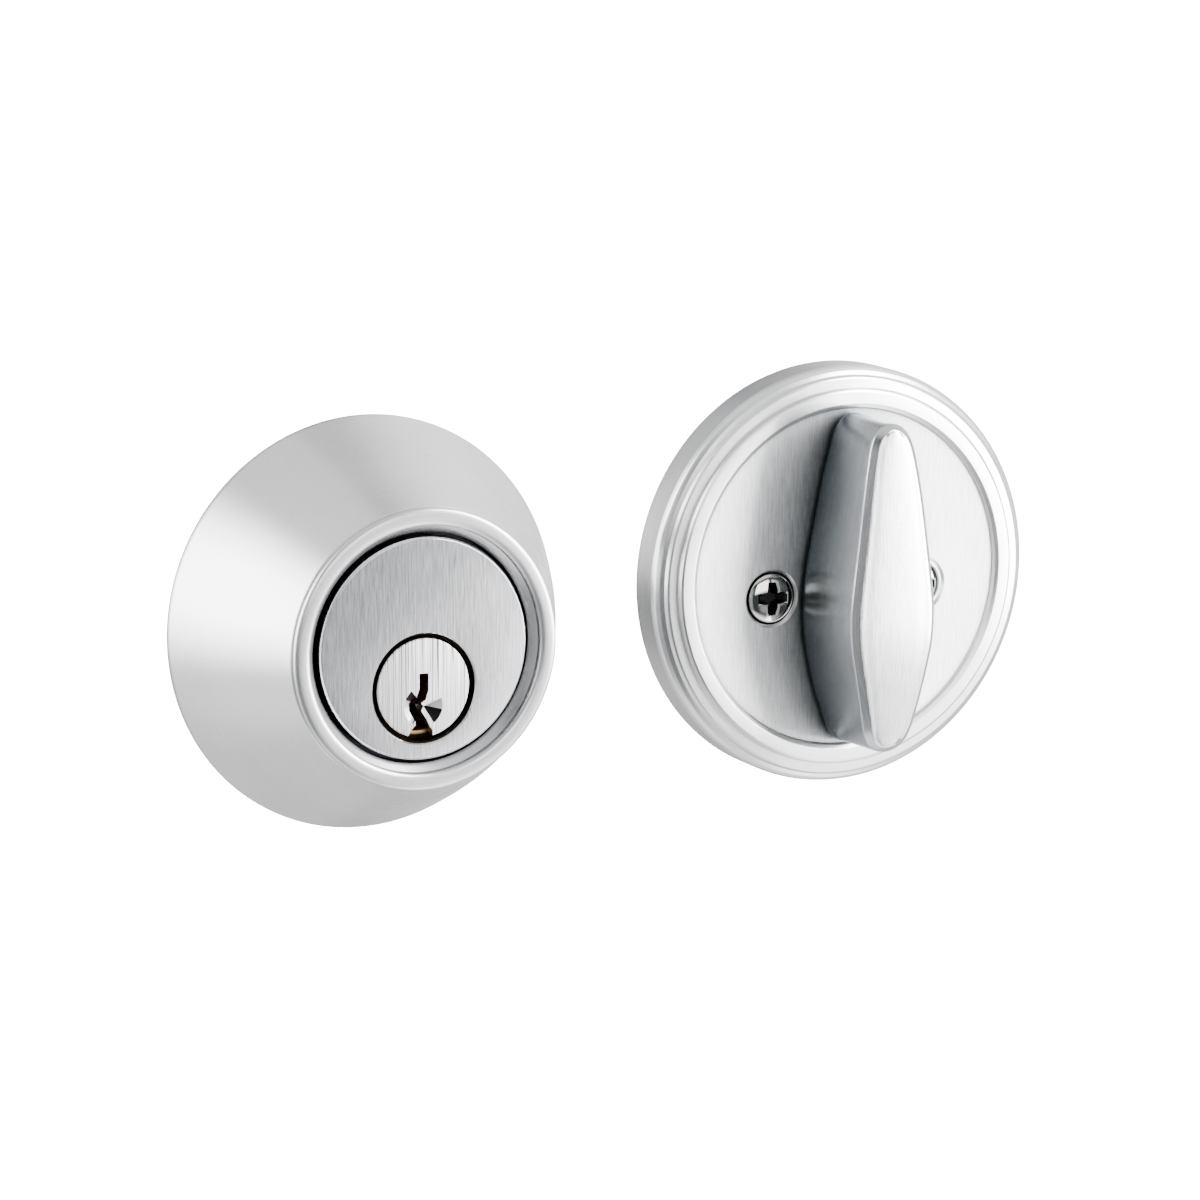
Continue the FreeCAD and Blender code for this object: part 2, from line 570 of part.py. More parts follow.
os.makedirs("parts", exist_ok=True)
save("outer_collar", outer_collar())
save("reinforcing_ring", reinforcing_ring())
save("cylinder_body", cylinder_body())
save("cylinder_shell", cylinder_shell())
save("key_plug", key_plug())
save("key_pins", key_pins())
save("driver_pins", driver_pins())
save("pin_springs", pin_springs())
save("chamber_cap", chamber_cap())
save("anti_drill_pins", anti_drill_pins())
save("plug_clip", plug_clip())
save("tail_cap", tail_cap())
save("tailpiece", tailpiece())
save("rose", rose())
save("rose_plate", rose_plate())
save("thumb_turn", thumb_turn())
save("turn_spindle", turn_spindle())
save("spring_washer", spring_washer())
save("spindle_clip", spindle_clip())
save("detent_leaf", detent_leaf())
save("mounting_screw_left", mounting_screw(-1))
save("mounting_screw_right", mounting_screw(1))
save("drive_in_collar", drive_in_collar())
save("bolt_tube", bolt_tube())
save("frame_cheek_left", cheek(-1))
save("frame_cheek_right", cheek(1))
save("frame_rivets", frame_rivets())
save("dead_bolt", dead_bolt())
save("anti_saw_pin", anti_saw_pin())
save("bolt_link", bolt_link())
save("link_pin", link_pin())
save("bolt_cam", bolt_cam())
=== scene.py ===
import math

import bmesh
import bpy
from mathutils import Matrix, Vector

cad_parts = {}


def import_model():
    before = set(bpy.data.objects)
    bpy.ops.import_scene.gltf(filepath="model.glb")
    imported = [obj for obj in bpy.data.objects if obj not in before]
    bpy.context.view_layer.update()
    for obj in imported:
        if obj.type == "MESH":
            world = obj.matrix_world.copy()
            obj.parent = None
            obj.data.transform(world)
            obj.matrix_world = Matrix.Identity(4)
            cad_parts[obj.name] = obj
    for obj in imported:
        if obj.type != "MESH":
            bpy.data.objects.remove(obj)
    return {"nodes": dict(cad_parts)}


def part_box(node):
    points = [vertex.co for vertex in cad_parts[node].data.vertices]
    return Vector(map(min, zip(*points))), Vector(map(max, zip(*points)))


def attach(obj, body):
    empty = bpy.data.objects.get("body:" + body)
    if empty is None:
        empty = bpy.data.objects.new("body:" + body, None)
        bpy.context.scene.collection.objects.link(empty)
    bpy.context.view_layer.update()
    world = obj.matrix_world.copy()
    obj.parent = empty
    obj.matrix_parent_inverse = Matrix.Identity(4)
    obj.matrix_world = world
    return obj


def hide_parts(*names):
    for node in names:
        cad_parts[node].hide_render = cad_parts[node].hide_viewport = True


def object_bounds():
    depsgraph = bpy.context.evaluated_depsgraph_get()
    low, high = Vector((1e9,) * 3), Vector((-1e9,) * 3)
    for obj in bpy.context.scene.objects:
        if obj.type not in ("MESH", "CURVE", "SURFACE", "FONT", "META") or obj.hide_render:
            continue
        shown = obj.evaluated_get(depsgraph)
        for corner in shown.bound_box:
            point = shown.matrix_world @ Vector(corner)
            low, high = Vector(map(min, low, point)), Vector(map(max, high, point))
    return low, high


# Looks of the deadbolt door lock: satin chrome trims, nickel plug and screws, plated steel bolt.
# Lengths are millimetres, and MM turns them into metres. A height is a distance off the door, along -Y.

MM = 0.001
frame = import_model()
cad_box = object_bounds()


def centre(node):
    low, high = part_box(node)
    return (low + high) / (2 * MM)


def size(node):
    low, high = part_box(node)
    return (high - low) / MM


# ---- places and sizes ----------------------------------------------------------------
COLLAR_R = round(size("outer_collar").x / 2, 3)
PLUG = centre("key_plug")
ROSE = centre("rose")
TURN_AXIS_Z = centre("turn_spindle").z - ROSE.z
POSTS_X = 12.7                      # fixing screws stand 1 in apart, on both trims
BOLT = centre("drive_in_collar")
BOLT_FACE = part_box("drive_in_collar")[1].y / MM
BACKSET = 60.3
HUB = BOLT_FACE - BACKSET           # Y of the bolt's hub axis
FUNNEL_Z = -2.6                     # centre of the key hole's lead-in, from the plug's axis


# ---- mesh helpers --------------------------------------------------------------------
TINY = 1e-6


def directions(segs):
    turns = (2 * math.pi * k / segs for k in range(segs))
    return [(math.cos(a), math.sin(a)) for a in turns]


def rounded(points, radii, steps=5):
    """Replace the corners of an open profile with small curves."""
    longest, nearly_straight = 0.45, math.pi - 0.06
    out = [points[0]]
    for i in range(1, len(points) - 1):
        r = radii if isinstance(radii, (int, float)) else radii.get(i, 0)
        corner, before, after = (Vector(points[j]) for j in (i, i - 1, i + 1))
        u, v = before - corner, after - corner
        reach = min(u.length, v.length) * longest
        if r <= 0 or reach < TINY or u.angle(v) > nearly_straight:
            out.append(points[i])
            continue
        back = min(r / math.tan(u.angle(v) / 2), reach)
        start, end = corner + u.normalized() * back, corner + v.normalized() * back
        for k in range(steps + 1):
            t = k / steps
            q = start * (1 - t) ** 2 + corner * (2 * t * (1 - t)) + end * t ** 2
            out.append((q.x, q.y))
    out.append(points[-1])
    return out


def finish_mesh(mesh, angle):
    """Smooth shading, with a sharp edge wherever the surface turns by more than the angle."""
    mesh.update()
    for poly in mesh.polygons:
        poly.use_smooth = True
    mesh.set_sharp_from_angle(angle=math.radians(angle))


def put(name, mesh, origin, body, materials, replaces):
    """Object with its origin on its own axis, riding on a body."""
    for index, material in enumerate(mesh.materials):
        if material is None:
            mesh.materials[index] = materials[0]
    for material in materials:
        if mesh.materials.find(material.name) < 0:
            mesh.materials.append(material)
    obj = bpy.data.objects.new(name, mesh)
    obj.location = [c * MM for c in origin]
    bpy.context.scene.collection.objects.link(obj)
    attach(obj, body)
    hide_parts(*replaces)


def faced_outwards(bm, name):
    """Mesh of what was built, with its normals set to point outwards."""
    bmesh.ops.recalc_face_normals(bm, faces=bm.faces)
    mesh = bpy.data.meshes.new(name)
    bm.to_mesh(mesh)
    bm.free()
    return mesh


def lathe(profile, segs, material_of=None):
    """Turn a closed (radius, height) profile about Y; material_of gives the slot between two points."""
    bm = bmesh.new()
    rings = []
    for r, h in profile:
        if r < TINY:
            rings.append([bm.verts.new((0, -h * MM, 0))])
        else:
            rings.append([bm.verts.new((r * c * MM, -h * MM, r * s * MM)) for c, s in directions(segs)])
    pairs = list(zip(rings, rings[1:], range(len(rings))))
    if len(rings[0]) > 1 and len(rings[-1]) > 1:
        pairs.append((rings[-1], rings[0], len(rings) - 1))
    for a, b, index in pairs:
        if len(a) == 1 and len(b) == 1:
            continue
        slot = material_of(profile[index], profile[(index + 1) % len(profile)]) if material_of else 0
        for k in range(segs):
            m = (k + 1) % segs
            if len(a) == 1:
                corners = (a[0], b[k], b[m])
            elif len(b) == 1:
                corners = (a[k], b[0], a[m])
            else:
                corners = (a[k], b[k], b[m], a[m])
            bm.faces.new(corners).material_index = slot
    return faced_outwards(bm, "turned")


def loft(rings, caps=True):
    """Skin a list of closed loops of 3-D points."""
    bm = bmesh.new()
    loops = [[bm.verts.new([c * MM for c in p]) for p in ring] for ring in rings]
    n = len(loops[0])
    for a, b in zip(loops, loops[1:]):
        for k in range(n):
            m = (k + 1) % n
            bm.faces.new((a[k], a[m], b[m], b[k]))
    if caps:
        bm.faces.new(loops[0])
        bm.faces.new(list(reversed(loops[-1])))
    return faced_outwards(bm, "skin")


def rod(x, z, r, h0, h1, segs=96, r1=None):
    """Straight or tapered pin along Y, from height h0 to h1."""
    ends = ((h0, r), (h1, r if r1 is None else r1))
    return loft([[(x + rad * c, -h, z + rad * s) for c, s in directions(segs)] for h, rad in ends])


def rod_up(x, y, z0, z1, r, segs=32):
    """Pin along Z."""
    return loft([[(x + r * c, y + r * s, z) for c, s in directions(segs)] for z in (z0, z1)])


def rod_across(s, u, r, w0, w1, segs=48):
    """Pin along X; s runs along the bolt from the hub axis and u up from the bolt axis."""
    return loft([[(w, HUB + s + r * c, u + r * d) for c, d in directions(segs)] for w in (w0, w1)])


def plate(points, h0, h1):
    return loft([[(x, -h, z) for x, z in points] for h in (h0, h1)])


def block(x0, x1, h0, h1, z0, z1):
    return plate([(x0, z0), (x1, z0), (x1, z1), (x0, z1)], h0, h1)


def shift(x, y, z):
    return Matrix.Translation((x * MM, y * MM, z * MM))


def painted(mesh, material):
    mesh.materials.append(material)
    return mesh


def cut(mesh, cutters, operation="DIFFERENCE"):
    """Exact boolean of a mesh with several others; cut faces keep the cutter's material."""
    obj = bpy.data.objects.new("work", mesh)
    bpy.context.scene.collection.objects.link(obj)
    helpers = []
    for cutter in cutters:
        helper = bpy.data.objects.new("cutter", cutter)
        bpy.context.scene.collection.objects.link(helper)
        helpers.append(helper)
        mod = obj.modifiers.new("cut", "BOOLEAN")
        mod.operation = operation
        mod.solver = "EXACT"
        mod.object = helper
        mod.material_mode = "TRANSFER"
    bpy.context.view_layer.update()
    graph = bpy.context.evaluated_depsgraph_get()
    result = bpy.data.meshes.new_from_object(obj.evaluated_get(graph))
    for helper in helpers + [obj]:
        bpy.data.objects.remove(helper)
    return result


def join(meshes):
    """Several closed shells in one mesh."""
    bm = bmesh.new()
    for mesh in meshes:
        bm.from_mesh(mesh)
    out = bpy.data.meshes.new("joined")
    bm.to_mesh(out)
    bm.free()
    return out


def give_tangent(mesh, turned):
    """UV map whose first axis crosses the brush lines, which run round the Y axis or straight up."""
    flat = 0.05
    layer = mesh.uv_layers.new(name="brush")
    for poly in mesh.polygons:
        normal = poly.normal
        if turned(poly):
            out = Vector((poly.center.x, 0, poly.center.z)) / MM
            out = out.normalized() if out.length > 1e-4 else Vector((1, 0, 0))
            along = Vector((out.z, 0, -out.x))
            across = along.cross(normal)
            across = across.normalized() if across.length > 1e-4 else out
        else:
            across = Vector((0, 0, 1)).cross(normal)
            across = across.normalized() if across.length > flat else Vector((1, 0, 0))
            along = normal.cross(across)
        for index in poly.loop_indices:
            co = mesh.vertices[mesh.loops[index].vertex_index].co / MM
            layer.data[index].uv = (co.dot(across), co.dot(along))


def all_turned(poly):
    return True


def not_facing_front(poly):
    return abs(poly.normal.y) < 0.95


# ---- shader helpers ------------------------------------------------------------------
def maths(tree, operation, a, b=None, clamp=False):
    out = tree.nodes.new("ShaderNodeMath")
    out.operation = operation
    out.use_clamp = clamp
    for i, value in enumerate((a, b)):
        if value is None:
            continue
        if isinstance(value, (int, float)):
            out.inputs[i].default_value = value
        else:
            tree.links.new(value, out.inputs[i])
    return out.outputs[0]


def ramp(tree, value, stops):
    """Colour ramp through (place, grey or colour) stops."""
    out = tree.nodes.new("ShaderNodeValToRGB")
    elements = out.color_ramp.elements
    while len(elements) < len(stops):
        elements.new(0.5)
    for element, (at, shade) in zip(elements, stops):
        element.position = at
        colour = shade if isinstance(shade, tuple) else (shade, shade, shade)
        element.color = colour + (1,)
    tree.links.new(value, out.inputs[0])
    return out.outputs[0]


def mixed(tree, a, b, factor=1.0, blend="MULTIPLY"):
    """Mix of two colours, each given as a socket or a value."""
    out = tree.nodes.new("ShaderNodeMix")
    out.data_type = "RGBA"
    out.blend_type = blend
    for value, socket in ((factor, out.inputs[0]), (a, out.inputs[6]), (b, out.inputs[7])):
        if isinstance(value, (float, tuple)):
            socket.default_value = value
        else:
            tree.links.new(value, socket)
    return out.outputs[2]


def noise(tree, vector, detail, rough, scale=1.0, depth=None):
    out = tree.nodes.new("ShaderNodeTexNoise")
    if depth is not None:
        out.noise_dimensions = "4D"
        tree.links.new(depth, out.inputs["W"])
    out.inputs["Scale"].default_value = scale
    out.inputs["Detail"].default_value = detail
    out.inputs["Roughness"].default_value = rough
    tree.links.new(vector, out.inputs["Vector"])
    return out.outputs["Fac"]


def own_place(tree):
    return tree.nodes.new("ShaderNodeTexCoord").outputs["Object"]


def split(tree, vector):
    parts = tree.nodes.new("ShaderNodeSeparateXYZ")
    tree.links.new(vector, parts.inputs[0])
    return parts.outputs


def distance(tree, x, z):
    squares = maths(tree, "ADD", maths(tree, "MULTIPLY", x, x), maths(tree, "MULTIPLY", z, z))
    return maths(tree, "SQRT", squares)


def brush_vector(tree, coord, mode, fine, along):
    """Texture space squeezed across the brush lines and stretched along them."""
    x, y, z = (maths(tree, "MULTIPLY", axis, 1 / MM) for axis in split(tree, coord))
    depth = None
    if mode == "turned":
        radius = distance(tree, x, z)
        safe = maths(tree, "MAXIMUM", radius, 0.05)
        squeezed = [maths(tree, "MULTIPLY", maths(tree, "DIVIDE", x, safe), along),
                    maths(tree, "MULTIPLY", radius, fine),
                    maths(tree, "MULTIPLY", maths(tree, "DIVIDE", z, safe), along)]
        depth = maths(tree, "MULTIPLY", y, fine)
    else:
        across = {"front": (x, None), "flank": (y, None), "linear": (x, y)}[mode]
        squeezed = [None if axis is None else maths(tree, "MULTIPLY", axis, fine) for axis in across]
        squeezed.append(maths(tree, "MULTIPLY", z, along))
    out = tree.nodes.new("ShaderNodeCombineXYZ")
    for value, socket in zip(squeezed, out.inputs):
        if value is not None:
            tree.links.new(value, socket)
    return out.outputs[0], depth


def streaked(tree, colour, tint, lines, cloud):
    """Colour a little darker and lighter along the brush lines, with slow cloudiness."""
    low = tuple(max(0.0, c * (1 - tint)) for c in colour)
    high = tuple(min(1.0, c * (1 + tint)) for c in colour)
    streaks = ramp(tree, lines, [(0.34, low), (0.66, high)])
    return mixed(tree, streaks, ramp(tree, cloud, [(0.35, 0.95), (0.65, 1.0)]))


def scratched(tree, base, vector, scratch):
    """Sparse dark scratches along the brush lines."""
    marks = noise(tree, vector, detail=2.0, rough=0.5, scale=1.37)
    return mixed(tree, base, ramp(tree, marks, [(0.38, 1 - scratch), (0.43, 1.0)]))


def painted_hollow_shade(tree, base, shade_colour, reach, power):
    """Painted shade: base colour darkened by ambient occlusion wherever something stands closer than reach.
    """
    hollow = tree.nodes.new("ShaderNodeAmbientOcclusion")
    hollow.inputs["Distance"].default_value = reach * MM
    hollow.samples = 6
    return mixed(tree, shade_colour + (1,), base, maths(tree, "POWER", hollow.outputs["AO"], power), "MIX")


def metal(name, colour, rough, mode="turned", fine=3.2, along=1.2, aniso=0.6, spread=0.06,
          bump=0.12, tint=0.05, shade_colour=None, reach=3.0, power=1.6, scratch=0.0):
    """Brushed or plain metal: streaked colour and roughness, fine bump, slow cloudiness, and painted shade in
    hollows when a shade colour is given.
    """
    material = bpy.data.materials.new(name)
    material.use_nodes = True
    tree = material.node_tree
    shader = tree.nodes["Principled BSDF"]
    shader.inputs["Metallic"].default_value = 1.0
    shader.inputs["Anisotropic"].default_value = aniso

    coord = own_place(tree)
    vector, depth = brush_vector(tree, coord, mode, fine, along)
    lines = noise(tree, vector, detail=4.0, rough=0.65, depth=depth)
    scaled = tree.nodes.new("ShaderNodeVectorMath")
    scaled.operation = "SCALE"
    scaled.inputs["Scale"].default_value = 1 / MM
    tree.links.new(coord, scaled.inputs[0])
    cloud = noise(tree, scaled.outputs[0], detail=2.0, rough=0.5, scale=0.09)

    base = streaked(tree, colour, tint, lines, cloud)
    if scratch > 0:
        base = scratched(tree, base, vector, scratch)
    # Painted shade: base colour darkened by ambient occlusion near other surfaces.
    if shade_colour is not None:
        base = painted_hollow_shade(tree, base, shade_colour, reach, power)
    tree.links.new(base, shader.inputs["Base Color"])

    uneven = maths(tree, "ADD", maths(tree, "MULTIPLY", lines, 2 * spread),
                   maths(tree, "MULTIPLY", cloud, spread))
    level = maths(tree, "ADD", uneven, rough - 1.5 * spread, clamp=True)
    tree.links.new(level, shader.inputs["Roughness"])

    relief = tree.nodes.new("ShaderNodeBump")
    relief.inputs["Strength"].default_value = bump
    relief.inputs["Distance"].default_value = 0.05 * MM
    tree.links.new(lines, relief.inputs["Height"])
    tree.links.new(relief.outputs[0], shader.inputs["Normal"])
    if aniso > 0:
        tangent = tree.nodes.new("ShaderNodeTangent")
        tangent.direction_type = "UV_MAP"
        tangent.uv_map = "brush"
        tree.links.new(tangent.outputs[0], shader.inputs["Tangent"])
    return material


# ---- materials -----------------------------------------------------------------------
CHROME = (0.64, 0.645, 0.655)
NICKEL = (0.66, 0.64, 0.61)
BRASS = (0.62, 0.42, 0.20)

collar_satin = metal("collar_satin", CHROME, 0.28, fine=5.0, along=5.0, aniso=0.7, spread=0.05, tint=0.035)
head_satin = metal("head_satin", (0.60, 0.605, 0.63), 0.215, "front", fine=4.0, along=0.22, aniso=0.15,
                   tint=0.17, scratch=0.13)
lip_satin = metal("lip_satin", (0.56, 0.565, 0.58), 0.34, fine=5.0, along=5.0, aniso=0.4, tint=0.04)
rose_side = metal("rose_side", CHROME, 0.30, fine=4.0, along=5.0, aniso=0.55)
# Painted shade: the rose's field darkens near the thumb turn and screws by ambient occlusion.
rose_field = metal("rose_field", (0.78, 0.785, 0.80), 0.52, "front", fine=4.0, along=0.22, aniso=0.3,
                   spread=0.07, tint=0.17, shade_colour=(0.02, 0.035, 0.045), reach=9.0, power=1.9, scratch=0.10)
turn_front = metal("turn_front", CHROME, 0.28, "front", fine=4.0, along=0.22, aniso=0.4, spread=0.07,
                   tint=0.18, scratch=0.13)
# Painted shade: the thumb turn's sides are darker than its chrome front, and darken further near the rose by
# ambient occlusion.
turn_satin = metal("turn_satin", (0.48, 0.495, 0.515), 0.24, "flank", fine=4.0, along=0.12, aniso=0.5,
                   spread=0.05, tint=0.10, shade_colour=(0.02, 0.045, 0.06), reach=15.5, power=2.9)
plug_face = metal("plug_face", (0.72, 0.71, 0.70), 0.36, "front", fine=3.4, along=0.03, spread=0.10,
                  bump=0.5, tint=0.40, scratch=0.93)
polished = metal("polished_nickel", NICKEL, 0.08, fine=5.0, along=2.0, aniso=0.0, spread=0.02, bump=0.05,
                 tint=0.02)
# Painted shade: brass darkens in hollows by ambient occlusion.
brass = metal("brass", BRASS, 0.28, "linear", fine=3.0, along=1.0, aniso=0.0, tint=0.12,
              shade_colour=(0.34, 0.21, 0.12))
shell_brass = metal("shell_brass", BRASS, 0.34, fine=3.0, along=1.0, aniso=0.0, tint=0.2)
hard_steel = metal("hard_steel", (0.40, 0.40, 0.41), 0.34, "linear", fine=4.0, along=2.0, aniso=0.0,
                   tint=0.10)
spring_steel = metal("spring_steel", (0.46, 0.45, 0.44), 0.30, "linear", fine=5.0, along=5.0, aniso=0.0,
                     tint=0.10)
# Painted shade: plated steel darkens in hollows by ambient occlusion.
plated_steel = metal("plated_steel", (0.56, 0.56, 0.54), 0.36, "linear", fine=2.0, along=0.35, aniso=0.0,
                     spread=0.08, tint=0.10, shade_colour=(0.10, 0.10, 0.10))
# Painted shade: near-black colour for the gaps, screw seats and cross recesses where shade falls, and a
# painted shadow at the thumb turn's foot.
recess = metal("painted_recess_shade", (0.030, 0.031, 0.034), 0.42, "linear", fine=3.0, along=3.0, aniso=0.0,
               tint=0.3)
bolt_satin = metal("bolt_satin", CHROME, 0.26, "linear", fine=3.5, along=3.5, aniso=0.0)
collar_front = metal("bolt_front_satin", CHROME, 0.28, fine=3.5, along=1.5)


def paint_rim_shade():
    """Painted shade: the front ring of the cylinder shell is coloured near black, for the shade of the gap
    round the plug.
    """
    tree = shell_brass.node_tree
    base_colour = tree.nodes["Principled BSDF"].inputs["Base Color"]
    place = split(tree, own_place(tree))
    z = maths(tree, "SUBTRACT", place[2], PLUG.z * MM)
    in_tens = maths(tree, "MULTIPLY", distance(tree, place[0], z), 0.1 / MM)
    shade = ramp(tree, in_tens, [(0.66, 1.0), (0.70, 0.01)])
    tree.links.new(mixed(tree, base_colour.links[0].from_socket, shade), base_colour)


def paint_funnel_reflections():
    """Polished nickel lead-in with painted reflections: bright and dark sectors by angle round the key hole,
    which turn with the plug.
    """
    material = metal("funnel_painted_reflections", NICKEL, 0.48, fine=5.0, along=2.0, aniso=0.0, spread=0.02, bump=0.05,
                     tint=0.02)
    tree = material.node_tree
    place = split(tree, own_place(tree))
    z = maths(tree, "SUBTRACT", place[2], FUNNEL_Z * MM)
    angle = maths(tree, "DIVIDE", maths(tree, "ARCTAN2", z, place[0]), 2 * math.pi)
    # Painted reflections: bright and dark sectors by angle round the key hole.
    reflection_stops = [(0.0, 0.75), (0.10, 0.8), (0.13, 0.15), (0.33, 0.012), (0.462, 0.012), (0.468, 0.95),
              (0.552, 0.85), (0.556, 0.03), (0.86, 0.015), (0.93, 0.02), (0.95, 0.5)]
    painted_sectors = ramp(tree, maths(tree, "ADD", angle, 0.5), reflection_stops)
    tree.links.new(painted_sectors, tree.nodes["Principled BSDF"].inputs["Base Color"])
    return material


paint_rim_shade()
funnel_painted_reflections = paint_funnel_reflections()


# ---- exterior trim -------------------------------------------------------------------
HEAD_FRONT = 21.5
HEAD_R = 15.85
GAP_R = 16.45                       # inside of the collar, round the head
MOUTH_R = 20.05                     # where the cone meets the lip
LIP_R = 18.87
LIP_HALF = 1.28
LIP_FOOT = 21.6
LIP_RISE = 1.1
LIP_SQUARE = 0.62                   # under 1 makes the lip's curve squarer than a half circle


def collar_profile():
    """Closed outline of the collar: foot, cone, groove, rolled lip and inside."""
    foot = [(COLLAR_R - 0.2, 0.0), (COLLAR_R - 0.07, 0.06), (COLLAR_R, 0.2), (COLLAR_R, 0.5)]
    cone, steps, bulge = [], 48, 0.45
    for i in range(steps):
        t = i / steps
        r = COLLAR_R + (MOUTH_R - COLLAR_R) * t + bulge * math.sin(math.pi * t)
        cone.append((r, 0.7 + 20.9 * t))
    groove = [(20.12, HEAD_FRONT), (20.0, 21.56), (20.02, 21.66)]
    lip = []
    for i in range(1, 25):
        a = math.pi * i / 24
        c, d = math.cos(a), math.sin(a)
        lip.append((LIP_R + LIP_HALF * math.copysign(abs(c) ** LIP_SQUARE, c),
                    LIP_FOOT + LIP_RISE * abs(d) ** LIP_SQUARE))
    inner = rounded([(17.58, HEAD_FRONT), (16.5, 20.5), (GAP_R, 18.0), (15.1, 18.0), (15.1, 15.6),
                     (20.5, 15.6), (27.85, 1.2), (27.85, 0.0)], {3: 0.1, 4: 0.1, 5: 0.6, 6: 0.6}, 3)
    return foot + cone + groove + lip + inner


def outer_collar():
    def slot_of(a, b):
        """0 on the cone, 1 in the gap round the head (near black, painted shade), 2 on the lip."""
        if max(a[0], b[0]) < 16.51:
            return 1
        return 2 if min(a[1], b[1]) > 21.52 or max(a[0], b[0]) < 17.6 else 0

    mesh = lathe(collar_profile(), 360, slot_of)
    give_tangent(mesh, all_turned)
    finish_mesh(mesh, 40)
    put("collar_shell", mesh, (0, 0, 0), "lock_frame",
        [collar_satin, recess, lip_satin], ["outer_collar"])


def cylinder_body():
    def slot_of(a, b):
        """1 on the side of the disc, which stands in the gap and is painted near black for its shade."""
        return 1 if min(a[0], b[0]) > 15.6 and max(a[1], b[1]) < 21.2 else 0

    z = PLUG.z
    front = rounded([(0, 18.0), (HEAD_R, 18.0), (HEAD_R, 21.22), (15.57, HEAD_FRONT), (0, HEAD_FRONT)],
                    {1: 0.2, 2: 0.12, 3: 0.12}, 3)
    disc = painted(painted(lathe(front, 320, slot_of), head_satin), recess)
    adds = [rod(0, 0, 14.9, 18.2, -1.5, 160)]
    tools = [rod(0, z, 8.15, 20.55, -3.0, 128), block(-3.75, 3.75, 17.8, -3.0, z, 12.15),
             rod(0, z, 7.87, 22.5, 20.0, 192), rod(0, z, 8.12, 21.6, 21.25, 192, 7.85)]
    for x in (-POSTS_X, POSTS_X):
        post = lathe(rounded([(0, -1.0), (3.5, -1.0), (3.5, -22.0), (0, -22.0)], {2: 0.35}, 3), 64)
        post.transform(shift(x, 0, z))
        adds += [rod(x, z, 3.75, 12.0, -1.5, 64), post]
        bore, mouth = rod(x, z, 1.8, -5.0, -23.0, 48), rod(x, z, 1.7, -21.4, -22.2, 48, 2.4)
        drill_pin_hole = rod(math.copysign(6.2, x), 5.6, 1.0, 17.6, 5.6, 32)
        tools += [bore, mouth, drill_pin_hole]
    body = cut(cut(disc, adds, "UNION"), tools)
    give_tangent(body, not_facing_front)
    finish_mesh(body, 30)
    put("cylinder_head", body, (0, 0, 0), "lock_frame", [head_satin, recess],
        ["cylinder_body"])


KEYWAY_LEFT = [(-0.62, 2.1), (-0.62, 0.0), (-1.05, -1.2), (-2.0, -2.1), (-2.0, -3.1), (-1.35, -4.4),
               (-1.2, -5.2), (-2.0, -5.9), (-2.4, -6.7), (-2.4, -7.6)]
KEYWAY_RIGHT = [(1.4, -7.6), (1.4, -6.1), (0.95, -5.5), (0.45, -4.5), (-0.45, -3.1), (-0.7, -2.3),
                (0.35, -1.7), (0.78, -0.3), (0.78, 2.1)]
FUNNEL_R = 2.95
FUNNEL_SECTORS = ((-58, 20), (128, 236))
PIN_HEIGHTS = [14.83 - 3.81 * i for i in range(5)]


def funnel_sector(a0, a1):
    """Conical lead-in of the key hole between two directions."""
    rings = []
    for h, r in ((21.4, FUNNEL_R + 0.45), (21.1, FUNNEL_R), (19.4, 0.25)):
        loop = [(0, -h, FUNNEL_Z)]
        for k in range(17):
            a = math.radians(a0 + (a1 - a0) * k / 16)
            loop.append((r * math.cos(a), -h, FUNNEL_Z + r * math.sin(a)))
        rings.append(loop)
    return loft(rings)


def plug_lug():
    """Curved lug on the plug's tail end."""
    points = []
    for r, a0, a1 in ((5.2, 255, 285), (3.2, 285, 255)):
        for k in range(9):
            a = math.radians(a0 + (a1 - a0) * k / 8)
            points.append((r * math.cos(a), r * math.sin(a)))
    return plate(points, -7.5, -8.5)


def key_plug():
    def slot_of(a, b):
        """1 on the side of the face, which stands in the gap and is painted near black for its shade."""
        return 1 if min(a[0], b[0]) > 6.9 and max(a[1], b[1]) < 20.96 else 0

    profile = rounded([(0, -7.6), (6.35, -7.6), (6.35, -7.2), (5.3, -7.2), (5.3, -6.3), (6.35, -6.3),
                       (6.35, 19.5), (7.1, 19.5), (7.1, 20.98), (6.98, 21.1), (0, 21.1)],
                      {1: 0.1, 8: 0.05, 9: 0.05}, 3)
    plug = painted(painted(lathe(profile, 192, slot_of), plug_face), recess)
    tools = [painted(plate(KEYWAY_LEFT + KEYWAY_RIGHT, 22.5, -5.4), brass)]
    tools += [painted(funnel_sector(a0, a1), funnel_painted_reflections) for a0, a1 in FUNNEL_SECTORS]
    tools += [painted(rod_up(0, -h, -0.8, 8.2, 1.5), brass) for h in PIN_HEIGHTS]
    plug = cut(cut(plug, tools), [plug_lug()], "UNION")
    give_tangent(plug, not_facing_front)
    finish_mesh(plug, 30)
    put("plug_turned", plug, (0, 0, PLUG.z), "plug_group",
        [plug_face, recess, brass, funnel_painted_reflections], ["key_plug"])


def pin_springs():
    """Round wire compression springs over the driver pins."""
    play = 0.22
    z0 = PLUG.z + 6.72 + 4.2 + play
    length = 11.2 - z0 - play
    steps, turns, wire, coil_r = 28, 4.5, 0.15, 1.12
    count = int(steps * turns)
    coils = []
    for height in PIN_HEIGHTS:
        rings = []
        for k in range(count + 1):
            a = 2 * math.pi * k / steps
            out = Vector((math.cos(a), math.sin(a), 0))
            mid = Vector((0, -height, z0 + wire + (length - 2 * wire) * k / count)) + out * coil_r
            rings.append([mid + out * (wire * c) + Vector((0, 0, wire * s)) for c, s in directions(8)])
        coils.append(loft(rings))
    mesh = join(coils)
    finish_mesh(mesh, 60)
    put("wire_springs", mesh, (0, 0, 0), "lock_frame", [spring_steel], ["pin_springs"])


# ---- interior trim -------------------------------------------------------------------
FIELD = 7.2                         # height of the rose's flat middle
FIELD_R = 25.4


